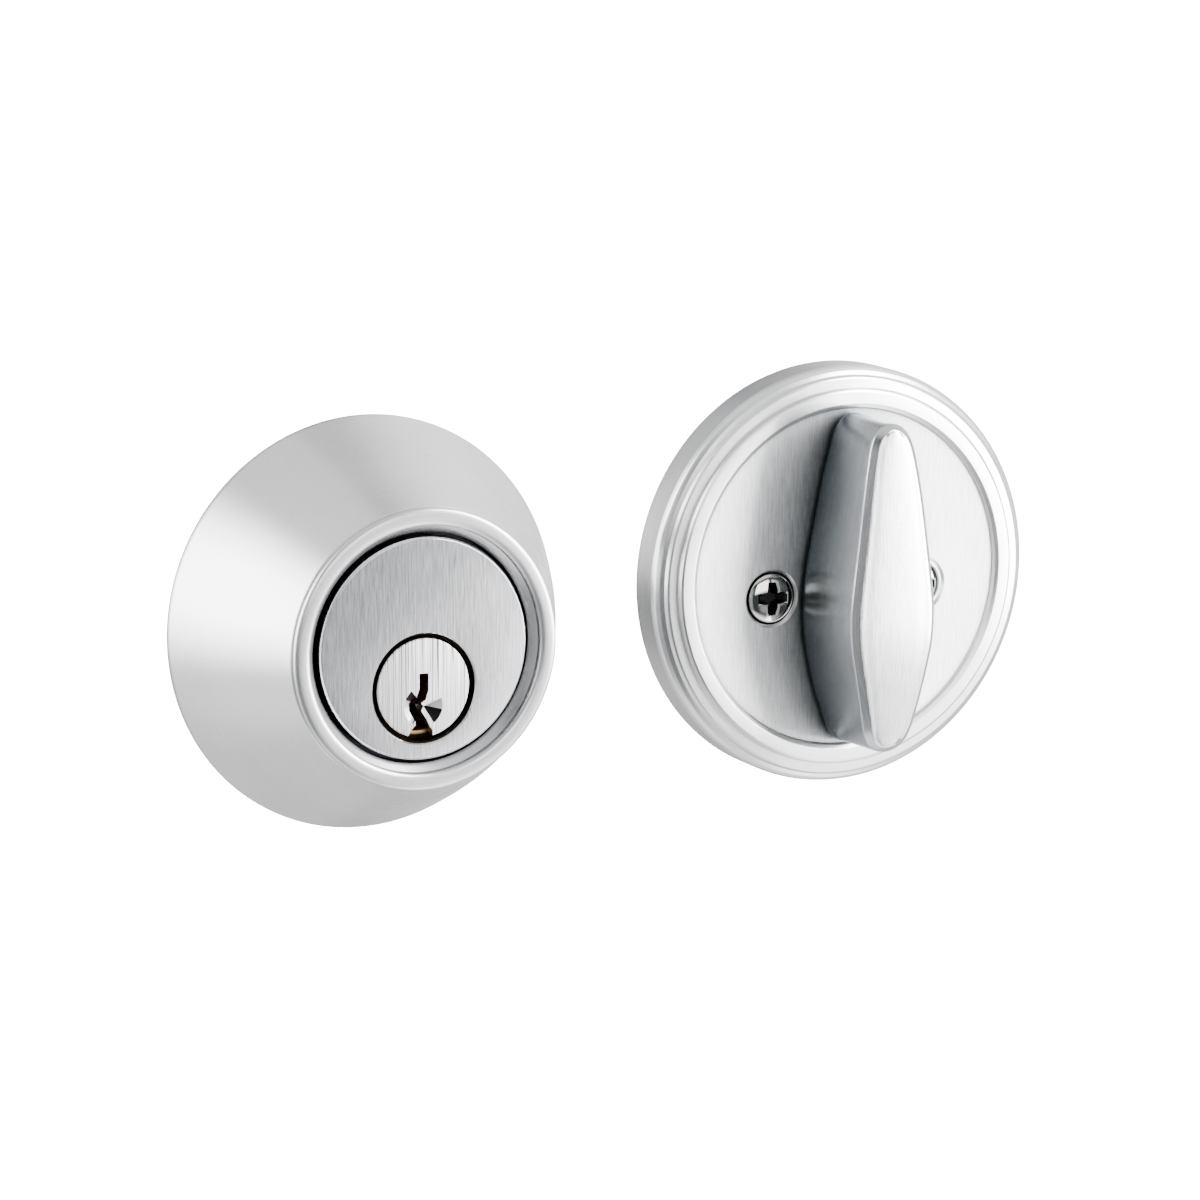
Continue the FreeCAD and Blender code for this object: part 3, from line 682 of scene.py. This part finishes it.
def rose():
    def slot_of(a, b):
        """1 on the flat field, 0 on the stepped rim."""
        return 1 if max(a[0], b[0]) <= FIELD_R + 0.05 and a[1] > 7.0 else 0

    def round_about(poly):
        return abs(poly.normal.y) <= 0.95 or poly.center.length >= 0.0262

    outer = [(31.65, 0.0), (31.65, 4.7), (31.45, 5.55), (30.9, 6.1), (30.3, 6.4), (30.02, 6.9),
             (29.75, 7.06), (28.6, 7.14), (28.4, 7.3), (28.22, 7.85), (27.9, 8.0), (26.2, 8.0),
             (25.6, 7.75), (FIELD_R, FIELD), (0, FIELD)]
    smooth = rounded(outer, {1: 0.9, 2: 0.9, 3: 0.5, 4: 0.12, 5: 0.15, 6: 0.12, 7: 0.1, 8: 0.1, 9: 0.12,
                             10: 0.2, 11: 0.4, 12: 0.2, 13: 0.12}, 4)
    inner = rounded([(0, 5.9), (25.0, 5.9), (27.6, 5.9), (30.35, 4.4), (30.35, 0.0)], 0.4, 3)
    body = painted(painted(lathe(smooth + inner, 360, slot_of), rose_side), rose_field)
    tools = [rod(0, TURN_AXIS_Z, 5.56, 9, -1, 128)]
    for x in (-POSTS_X, POSTS_X):
        body = cut(body, [rod(x, TURN_AXIS_Z, 5.1, 7.0, 4.6, 96)], "UNION")
        # Painted shade: the seats round the screw heads are near black.
        seat = painted(rod(x, TURN_AXIS_Z, 4.0, 9, 5.7, 128), recess)
        bevel = rod(x, TURN_AXIS_Z, 4.5, 7.3, 6.75, 128, 3.98)
        tools += [seat, bevel, rod(x, TURN_AXIS_Z, 2.4, 9, 3, 64)]
    body = cut(body, tools)
    give_tangent(body, round_about)
    finish_mesh(body, 28)
    put("rose_cover", body, (ROSE.x, 0, ROSE.z), "lock_frame",
        [rose_side, rose_field, recess], ["rose"])


# Half outlines (x, z) of the thumb turn at its foot and its front, and the height of its crown (z, height).
FOOT = [(0.0, 24.95), (1.5, 24.55), (2.7, 23.4), (3.42, 21.9), (3.95, 20.0), (5.0, 16.0), (6.6, 8.1),
        (7.6, 2.7), (8.15, -1.8), (8.15, -5.2), (7.75, -9.2), (6.4, -15.3), (4.55, -20.8), (3.85, -22.6),
        (2.95, -23.85), (1.6, -24.63), (0.0, -24.9)]
FRONT = [(0.0, 24.85), (1.45, 24.5), (2.6, 23.5), (3.35, 22.1), (3.85, 20.2), (4.8, 14.5), (5.7, 7.2),
         (6.4, 1.6), (6.8, -2.4), (6.8, -5.4), (6.6, -8.0), (5.6, -13.2), (4.4, -18.9), (3.8, -21.3),
         (2.9, -22.95), (1.6, -23.9), (0.0, -24.25)]
CROWN = [(-26.0, 19.7), (-24.5, 20.1), (-22.5, 20.5), (-20.0, 20.95), (-17.0, 21.35), (-12.0, 21.8),
         (-7.0, 22.0), (-1.0, 22.0), (7.0, 21.9), (14.0, 21.6), (18.0, 21.35), (21.0, 21.1),
         (23.0, 20.9), (24.5, 20.7), (26.0, 20.5)]
TURN_FOOT = 8.3
TURN_SPAN = 23.0 - TURN_FOOT        # height over which the outline goes from foot to front
FOOT_ROUND = 0.35
FOOT_INSET = 0.6
BEVEL_DEPTH = 0.95
BEVEL = ((0.03, 0.08), (0.09, 0.15), (0.80, 0.85), (0.88, 0.91), (0.98, 0.945))     # inset, rise


def curve_through(points, steps=6, mirror=True):
    """Smooth curve through outline points: Catmull-Rom, with knots by the root of their distance."""
    pts = [Vector(p) for p in points]
    first = Vector((-pts[1].x, pts[1].y)) if mirror else pts[0] * 2 - pts[1]
    last = Vector((-pts[-2].x, pts[-2].y)) if mirror else pts[-1] * 2 - pts[-2]
    pts = [first] + pts + [last]
    out = []
    for a, b, c, d in zip(pts, pts[1:], pts[2:], pts[3:]):
        tb = max((b - a).length, TINY) ** 0.5
        tc = tb + max((c - b).length, TINY) ** 0.5
        td = tc + max((d - c).length, TINY) ** 0.5
        for k in range(steps):
            t = tb + (tc - tb) * k / steps
            a1 = a * ((tb - t) / tb) + b * (t / tb)
            a2 = b * ((tc - t) / (tc - tb)) + c * ((t - tb) / (tc - tb))
            a3 = c * ((td - t) / (td - tc)) + d * ((t - tc) / (td - tc))
            b1 = a1 * ((tc - t) / tc) + a2 * (t / tc)
            b2 = a2 * ((td - t) / (td - tb)) + a3 * ((t - tb) / (td - tb))
            out.append(b1 * ((tc - t) / (tc - tb)) + b2 * ((t - tb) / (tc - tb)))
    out.append(pts[-2])
    return [(p.x, p.y) for p in out]


FOOT_CURVE = curve_through(FOOT)
FRONT_CURVE = curve_through(FRONT)
CROWN_CURVE = curve_through(CROWN, 8, mirror=False)
ROUND_TRIP = list(range(len(FOOT_CURVE))) + [-i for i in range(len(FOOT_CURVE) - 2, 0, -1)]


def crown_height(z):
    for (z0, h0), (z1, h1) in zip(CROWN_CURVE, CROWN_CURVE[1:]):
        if z0 <= z <= z1:
            return h0 + (h1 - h0) * (z - z0) / max(z1 - z0, TINY)
    return CROWN_CURVE[0][1] if z < 0 else CROWN_CURVE[-1][1]


def outline_point(i, level):
    """Point i of the round trip, at a level from 0 at the foot to 1 at the front; left side if i < 0."""
    (fx, fz), (tx, tz) = FOOT_CURVE[abs(i)], FRONT_CURVE[abs(i)]
    x, z = fx + (tx - fx) * level, fz + (tz - fz) * level
    return (x if i >= 0 else -x), z


def outline(level):
    return [outline_point(i, level) for i in ROUND_TRIP]


def inset(points, amount):
    """Closed outline moved inwards, square to itself."""
    out = []
    for k, (x, z) in enumerate(points):
        (ax, az), (bx, bz) = points[k - 1], points[(k + 1) % len(points)]
        t = Vector((bx - ax, bz - az))
        t = t.normalized() if t.length > TINY else Vector((1, 0))
        nx, nz = -t.y, t.x
        if nx * x + nz * z > 0:
            nx, nz = -nx, -nz
        out.append((x + nx * amount, z + nz * amount))
    return out


def paddle_rings():
    """Loops of the thumb turn from its underside up the sides, over the bevel and in to its middle line."""
    rings = [[(x, -TURN_FOOT, z) for x, z in inset(outline(0.0), FOOT_INSET)]]
    for rise in (0.02, 0.06, 0.13, 0.22, FOOT_ROUND):
        k = 1 - math.sqrt(max(0.0, 1 - (1 - rise / FOOT_ROUND) ** 2))
        points = inset(outline(rise / TURN_SPAN), FOOT_INSET * k)
        rings.append([(x, -TURN_FOOT - rise, z) for x, z in points])

    bottom, steps = TURN_FOOT + FOOT_ROUND, 24
    tops = [crown_height(z) - BEVEL_DEPTH for x, z in outline(1.0)]
    for step in range(1, steps + 1):
        ring = []
        for i, top in zip(ROUND_TRIP, tops):
            h = bottom + (top - bottom) * step / steps
            x, z = outline_point(i, (h - TURN_FOOT) / TURN_SPAN)
            ring.append((x, -h, z))
        rings.append(ring)

    edge = rings[-1]
    for amount, rise in BEVEL:
        points = inset([(x, z) for x, y, z in edge], amount)
        rings.append([(x, place[1] - rise, z) for (x, z), place in zip(points, edge)])

    rim, steps, dome = rings[-1], 12, 0.12
    for step in range(1, steps + 1):
        f = 1 - step / steps
        blend = min(1.0, (1 - f) * 3)
        ring = []
        for x, y, z in rim:
            crown = crown_height(z) + dome * (1 - f * f)
            ring.append((x * f, y - (crown + y) * blend, z))
        rings.append(ring)
    return rings


def paddle_mesh():
    """Closed skin of the thumb turn, stitched along its middle line."""
    rings = paddle_rings()
    middle = rings.pop()
    bm = bmesh.new()
    bm.from_mesh(loft(rings, caps=False))
    bm.verts.ensure_lookup_table()
    m = len(ROUND_TRIP)
    half = m // 2
    bm.faces.new([bm.verts[k] for k in range(m)])
    top = [bm.verts[(len(rings) - 1) * m + k] for k in range(m)]
    spine = [top[0]]
    spine += [bm.verts.new((0, middle[k][1] * MM, middle[k][2] * MM)) for k in range(1, half)]
    spine.append(top[half])
    for k in range(half):
        for side in (1, -1):
            corners = (top[(side * k) % m], top[(side * (k + 1)) % m], spine[k + 1], spine[k])
            corners = list(dict.fromkeys(corners))
            if len(corners) > 2:
                bm.faces.new(corners)
    return faced_outwards(bm, "paddle")


def thumb_turn():
    shank = lathe(rounded([(0, 8.6), (5.5, 8.6), (5.5, 4.2), (4.95, 4.2), (4.95, 3.4), (5.5, 3.4), (5.5, 0.2),
                           (0, 0.2)], {6: 0.2}, 3), 96)
    shank.transform(shift(0, 0, TURN_AXIS_Z))
    body = cut(paddle_mesh(), [shank], "UNION")
    body = cut(body, [rod(0, TURN_AXIS_Z, 4.2, 14.5, -1, 96)])
    materials = [turn_satin, turn_front, recess]
    body.materials.clear()
    for material in materials:
        body.materials.append(material)
    for poly in body.polygons:
        height = -poly.center.y / MM
        poly.material_index = 1 if poly.normal.y < -0.93 and height > 15 else 0
        # Painted shadow: the foot's rounded edge is near black, for the shade under the thumb turn.
        if TURN_FOOT - 0.1 < height < TURN_FOOT + FOOT_ROUND + 0.01:
            poly.material_index = 2
    give_tangent(body, lambda poly: False)
    finish_mesh(body, 24)
    put("turn_paddle", body, (ROSE.x, 0, ROSE.z), "turn", materials, ["thumb_turn"])


SCREW_HEAD_R = 3.72
SCREW_RIM = 6.8
SCREW_DOME = 1.15


def cross_bar(levels, outline_of, quarter):
    """One bar of the cross recess, through (height, half length, half width) levels."""
    rings = []
    for h, w, d in levels:
        loop = [(z, -x) for x, z in outline_of(w, d)] if quarter else outline_of(w, d)
        rings.append([(x, -h, z) for x, z in loop])
    return loft(rings)


def wing_outline(w, d):
    side = [(-w, d), (-w * 0.55, d * 1.35), (w * 0.55, d * 1.35), (w, d)]
    return side + [(-x, -z) for x, z in side]


def rim_outline(w, d):
    return [(-w, d), (w, d), (w, -d), (-w, -d)]


def threaded_shank():
    """Shank with one groove for each turn of the thread."""
    start, pitch, turns = -6.0, 0.8, 27
    profile = [(0, 5.8), (2.0, 5.8), (2.0, start)]
    for turn in range(turns):
        h = start - pitch * turn
        profile += [(2.05, h - 0.15), (2.05, h - 0.25), (1.72, h - 0.55), (1.72, h - 0.62)]
    return lathe(profile + [(1.75, -27.4), (1.4, -28.0), (0, -28.0)], 48)


def mounting_screw(name, node_name):
    place = centre(node_name)
    head = [(0, 5.7), (SCREW_HEAD_R, 5.7), (SCREW_HEAD_R, SCREW_RIM)]
    for i in range(1, 24):
        a = math.radians(90 * i / 24)
        head.append((SCREW_HEAD_R * math.cos(a), SCREW_RIM + SCREW_DOME * math.sin(a)))
    head.append((0, SCREW_RIM + SCREW_DOME))
    mesh = painted(lathe(rounded(head, {1: 0.1}, 3), 128), polished)
    rims = [cross_bar(((8.3, 3.2, 1.5), (7.2, 2.1, 0.46)), rim_outline, quarter) for quarter in (0, 1)]
    wings = [cross_bar(((8.3, 2.75, 0.68), (7.2, 2.3, 0.56), (5.9, 1.3, 0.42)), wing_outline, quarter)
             for quarter in (0, 1)]
    wings.append(rod(0, 0, 1.75, 8.3, 5.9, 4, 0.6))
    mesh = cut(mesh, [painted(rim, polished) for rim in rims])
    # Painted shade: the walls and floor of the cross recess are near black.
    mesh = cut(mesh, [painted(wing, recess) for wing in wings])
    mesh = join([mesh, threaded_shank()])
    finish_mesh(mesh, 30)
    put(name, mesh, (place.x, 0, place.z), "lock_frame", [polished, recess], [node_name])


# ---- bolt ----------------------------------------------------------------------------
FRONT_R = 12.7                      # 1 in round drive-in front
TUBE_R = 12.2
BAR_R = 9.5
BAR_HALF = 7.5                      # half width across the bar's flats
BAR_PLAY = 0.35


def along_bolt(points):
    """Profile (radius, distance along the bolt from the hub axis) as lathe points."""
    return [(r, -(HUB + s)) for r, s in points]


def bar_loop(margin, chamfer):
    r, half = BAR_R + margin - chamfer, BAR_HALF + margin - chamfer
    return [(max(-half, min(half, r * c)), r * s) for c, s in directions(96)]


def bar_solid(margin, levels):
    """Bolt bar section through (distance from the hub axis, chamfer) levels."""
    return loft([[(x, HUB + s, z) for x, z in bar_loop(margin, chamfer)] for s, chamfer in levels])


def bar_opening(s0, s1):
    return bar_solid(BAR_PLAY, [(s0, 0.0), (s1, 0.0)])


def drive_in_collar():
    s0, s1 = 51.3, BACKSET
    profile = [(TUBE_R, s0), (FRONT_R, s0 + 0.4)]
    for i in range(4):
        s = s0 + 1.0 + 1.6 * i
        profile += [(FRONT_R, s - 0.1), (12.42, s + 0.1), (12.42, s + 0.7), (FRONT_R, s + 0.95)]
    profile += [(FRONT_R, s1 - 0.5), (TUBE_R, s1)]
    inner = [(0, s1), (0, s1 - 2.4), (TUBE_R, s1 - 2.4)]
    mesh = cut(lathe(along_bolt(rounded(profile, 0.12, 2) + inner), 192), [bar_opening(55, 63)])
    give_tangent(mesh, all_turned)
    finish_mesh(mesh, 30)
    put("bolt_front_ring", mesh, (BOLT.x, 0, BOLT.z), "lock_frame", [collar_front],
        ["drive_in_collar"])


def dead_bolt():
    s0, s1, nose = 24.0, BACKSET, 1.1
    mesh = bar_solid(0.0, [(s0, 0.15), (s0 + 0.15, 0.0), (s1 - nose, 0.0), (s1 - nose * 0.6, 0.12),
                           (s1 - nose * 0.25, 0.45), (s1, nose * 0.9)])
    pin_bore = rod(0, 0, 3.05, -(HUB + 31.0), -(HUB + 56.3), 48)
    link_slot = block(-1.2, 1.2, -(HUB + 23.0), -(HUB + 30.2), 4.4, 12.0)
    mesh = cut(mesh, [pin_bore, link_slot, rod_across(27.4, 6.2, 1.0, -12, 12)])
    finish_mesh(mesh, 22)
    put("bolt_bar", mesh, (BOLT.x, 0, BOLT.z), "bolt", [bolt_satin], ["dead_bolt"])


def bolt_tube():
    s0, s1 = 18.2, 57.9
    outer = [(11.2, s0), (12.05, s0), (TUBE_R, s0 + 0.15), (TUBE_R, s1), (11.2, s1)]
    seam = block(-0.12, 0.12, -(HUB + s0 - 1), -(HUB + s1 - 7), 12.05, 13.0)
    mesh = cut(lathe(along_bolt(outer), 192), [seam])
    guide = cut(rod(0, 0, 11.7, -(HUB + s1 - 9), -(HUB + s1), 128), [bar_opening(40, 60)])
    mesh = cut(mesh, [guide], "UNION")
    give_tangent(mesh, all_turned)
    finish_mesh(mesh, 30)
    put("bolt_sleeve", mesh, (BOLT.x, 0, BOLT.z), "lock_frame", [plated_steel],
        ["bolt_tube"])


# ---- carried-over nodes --------------------------------------------------------------
CARRIED = (
    (brass, ("key_pins", "driver_pins", "chamber_cap")),
    (shell_brass, ("cylinder_shell",)),
    (hard_steel, ("reinforcing_ring", "anti_drill_pins", "frame_rivets", "anti_saw_pin", "link_pin")),
    (spring_steel, ("plug_clip", "spring_washer", "spindle_clip", "detent_leaf")),
    (plated_steel, ("tail_cap", "tailpiece", "rose_plate", "turn_spindle", "frame_cheek_left",
                    "frame_cheek_right", "bolt_link", "bolt_cam")),
)


def carried_nodes():
    for material, names in CARRIED:
        for name in names:
            for slot in frame["nodes"][name].material_slots:
                slot.material = material


# ---- studio --------------------------------------------------------------------------
# The camera and the floor are placed in metres.
CAMERA_AT = Vector((-0.26116, -0.59347, 0.13071))
CAMERA_AIM = Vector((0.03768, 0.0, 0.0))
CAMERA_ROLL = 0.15
FLOOR_Z = cad_box[0][2]
FLOOR_HALF = 6.0
BACKDROP = 22.0                     # brightness of the pale floor and of what the camera sees behind

# Soft cards round the object: azimuth from, to, elevation from, to, edge softness, brightness.
CARDS = [
    (-121, -88, -8, 40, 16, 17.0),
    (-121, -88, -45, -10, 14, 2.0),
    (27, 62, -65, -11, 9, 5.0),
    (-20, 20, 3, 32, 3, 5.0),
    (92, 150, 8, 62, 18, 1.0),
    (-190, -145, 8, 38, 12, 0.2),
    (80, 147, -95, 95, 10, 1.25),
    (150, 190, -95, -35, 14, 1.15),
    (150, 190, 45, 95, 14, 1.15),
    (-190, -88, -95, -35, 14, 1.2),
    (-190, -88, 45, 95, 14, 1.6),
    (150, 190, -35, 45, 14, 0.33),
    (-190, -88, -35, 45, 14, 0.55),
    (-100, 94, 48, 95, 12, 1.3),
    (-100, 94, -95, -48, 12, 2.2),
    (-78, -36, -40, 25, 10, 0.5),
    (2, 34, -34, 2, 9, 0.5),
]
AMBIENT = 0.08


def add(name, data):
    obj = bpy.data.objects.new(name, data)
    bpy.context.scene.collection.objects.link(obj)
    return obj


def camera():
    data = bpy.data.cameras.new("camera")
    data.sensor_width = 36.0
    data.lens = 137.9
    data.shift_x = 0.003
    data.shift_y = -0.0005
    data.clip_start = 0.01
    data.clip_end = 50.0
    obj = add("camera", data)
    obj.location = CAMERA_AT
    obj.rotation_euler = (CAMERA_AIM - CAMERA_AT).to_track_quat("-Z", "Y").to_euler()
    obj.rotation_euler.rotate_axis("Z", math.radians(CAMERA_ROLL))
    bpy.context.scene.camera = obj


def floor():
    mesh = bpy.data.meshes.new("floor")
    corners = [(x * FLOOR_HALF, y * FLOOR_HALF, FLOOR_Z) for x, y in ((-1, -1), (1, -1), (1, 1), (-1, 1))]
    mesh.from_pydata(corners, [], [(0, 1, 2, 3)])
    material = bpy.data.materials.new("floor_white")
    material.use_nodes = True
    shader = material.node_tree.nodes["Principled BSDF"]
    shader.inputs["Base Color"].default_value = (0.9, 0.9, 0.9, 1)
    shader.inputs["Roughness"].default_value = 0.8
    shader.inputs["Emission Color"].default_value = (1, 1, 1, 1)
    shader.inputs["Emission Strength"].default_value = BACKDROP
    mesh.materials.append(material)
    obj = add("floor", mesh)
    obj.visible_glossy = False
    obj.visible_diffuse = False
    obj.visible_shadow = False


def soft_step(tree, value, at, soft, rising):
    """Smooth step up or down where the value passes a place."""
    out = tree.nodes.new("ShaderNodeMapRange")
    out.interpolation_type = "SMOOTHSTEP"
    out.inputs["From Min"].default_value = at - soft
    out.inputs["From Max"].default_value = at + soft
    out.inputs["To Min"].default_value = 0.0 if rising else 1.0
    out.inputs["To Max"].default_value = 1.0 if rising else 0.0
    tree.links.new(value, out.inputs["Value"])
    return out.outputs[0]


def world():
    """Soft cards on a dim sky for light and reflections; the camera sees a plain pale backdrop."""
    sky = bpy.data.worlds.new("studio")
    bpy.context.scene.world = sky
    sky.use_nodes = True
    tree = sky.node_tree
    tree.nodes.clear()
    x, y, z = split(tree, tree.nodes.new("ShaderNodeTexCoord").outputs["Generated"])
    degrees = 180 / math.pi
    azimuth = maths(tree, "MULTIPLY", maths(tree, "ARCTAN2", x, maths(tree, "MULTIPLY", y, -1.0)), degrees)
    elevation = maths(tree, "MULTIPLY", maths(tree, "ARCSINE", z), degrees)

    total = AMBIENT
    for a0, a1, e0, e1, soft, power in CARDS:
        card = soft_step(tree, azimuth, a0, soft, True)
        for value, at, rising in ((azimuth, a1, False), (elevation, e0, True), (elevation, e1, False)):
            card = maths(tree, "MULTIPLY", card, soft_step(tree, value, at, soft, rising))
        total = maths(tree, "ADD", maths(tree, "MULTIPLY", card, power), total)

    light = tree.nodes.new("ShaderNodeBackground")
    tree.links.new(total, light.inputs["Strength"])
    tint = ramp(tree, total, [(0.0, (0.72, 0.92, 1.0)), (0.6, (1.0, 1.0, 1.0))])
    tree.links.new(tint, light.inputs["Color"])
    backdrop = tree.nodes.new("ShaderNodeBackground")
    backdrop.inputs["Strength"].default_value = BACKDROP
    path = tree.nodes.new("ShaderNodeLightPath")
    mix = tree.nodes.new("ShaderNodeMixShader")
    tree.links.new(path.outputs["Is Camera Ray"], mix.inputs[0])
    tree.links.new(light.outputs[0], mix.inputs[1])
    tree.links.new(backdrop.outputs[0], mix.inputs[2])
    out = tree.nodes.new("ShaderNodeOutputWorld")
    tree.links.new(mix.outputs[0], out.inputs[0])


def soft_card(name, left, right, low, high, radiance):
    """Upright softbox over the line between two floor points, facing the interior trim."""
    a, b = Vector((left[0], left[1], 0)) * MM, Vector((right[0], right[1], 0)) * MM
    width, height = (b - a).length, (high - low) * MM
    data = bpy.data.lights.new(name, "AREA")
    data.shape = "RECTANGLE"
    data.size, data.size_y = width, height
    data.energy = radiance * math.pi * width * height
    obj = add(name, data)
    obj.location = (a + b) / 2 + Vector((0, 0, (low + high) / 2 * MM))
    facing = Vector((ROSE.x, 0, 0)) * MM - (a + b) / 2
    obj.rotation_euler = facing.to_track_quat("-Z", "Y").to_euler()
    obj.visible_camera = False


camera()
floor()
world()
soft_card("key_card", (256.6, -282.6), (352, -190), -78, 400, 44.0)
outer_collar()
cylinder_body()
key_plug()
pin_springs()
rose()
thumb_turn()
mounting_screw("screw_left", "mounting_screw_left")
mounting_screw("screw_right", "mounting_screw_right")
drive_in_collar()
dead_bolt()
bolt_tube()
carried_nodes()
